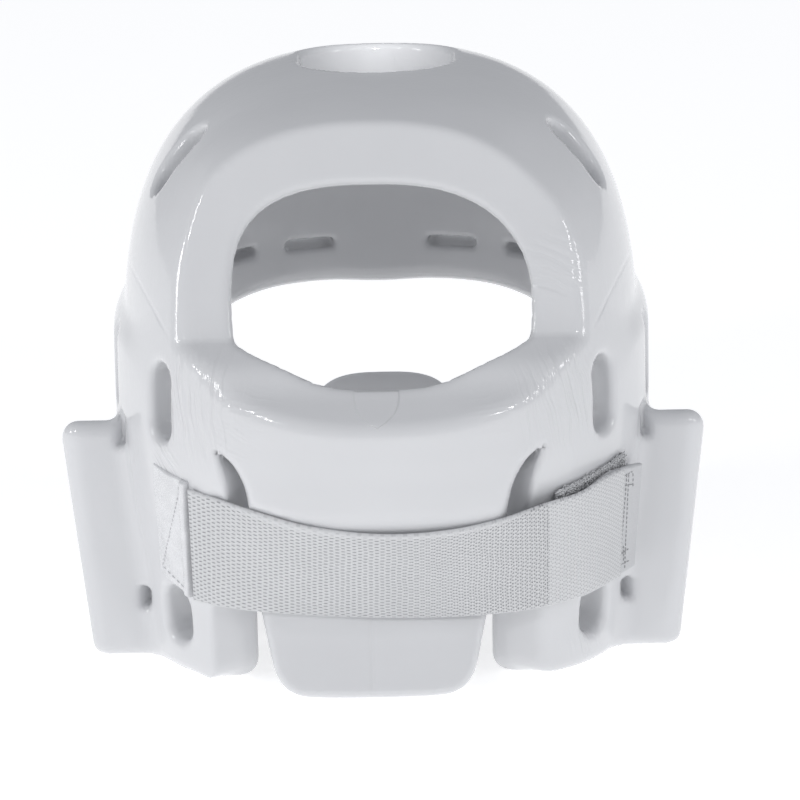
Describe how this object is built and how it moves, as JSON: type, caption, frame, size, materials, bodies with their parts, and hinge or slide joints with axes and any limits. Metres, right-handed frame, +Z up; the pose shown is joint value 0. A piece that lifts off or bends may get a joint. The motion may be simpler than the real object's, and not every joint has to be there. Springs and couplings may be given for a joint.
{
  "type": "sparring headgear",
  "caption": "Moulded foam karate head guard with rear window, ear guards, vents and a nape flap, closed by an elastic rear strap with hook-and-loop tape and an elastic chin strap with a cup.",
  "frame": {"origin": "middle of the base: the plane that the ear guards, side walls and nape flap stand on, at the centre of the bounding box", "axes": "+Z up, +Y the way the wearer faces, +X the wearer's right"},
  "size_m": [0.2334, 0.238, 0.2116],
  "materials": {
    "dipped_foam": "smooth white vinyl dip over foam, soft gloss",
    "elastic": "woven white elastic",
    "vinyl_tab": "white vinyl cloth, sewn",
    "loop_tape": "white loop pile",
    "hook_tape": "white hook tape"
  },
  "bodies": {
    "root": {"foam_shell": "dipped_foam", "chin_cup": "dipped_foam", "rear_strap": "elastic", "chin_strap": "elastic", "strap_tab": "vinyl_tab", "loop_patch": "loop_tape", "hook_tab": "hook_tape"}
  },
  "joints": []
}
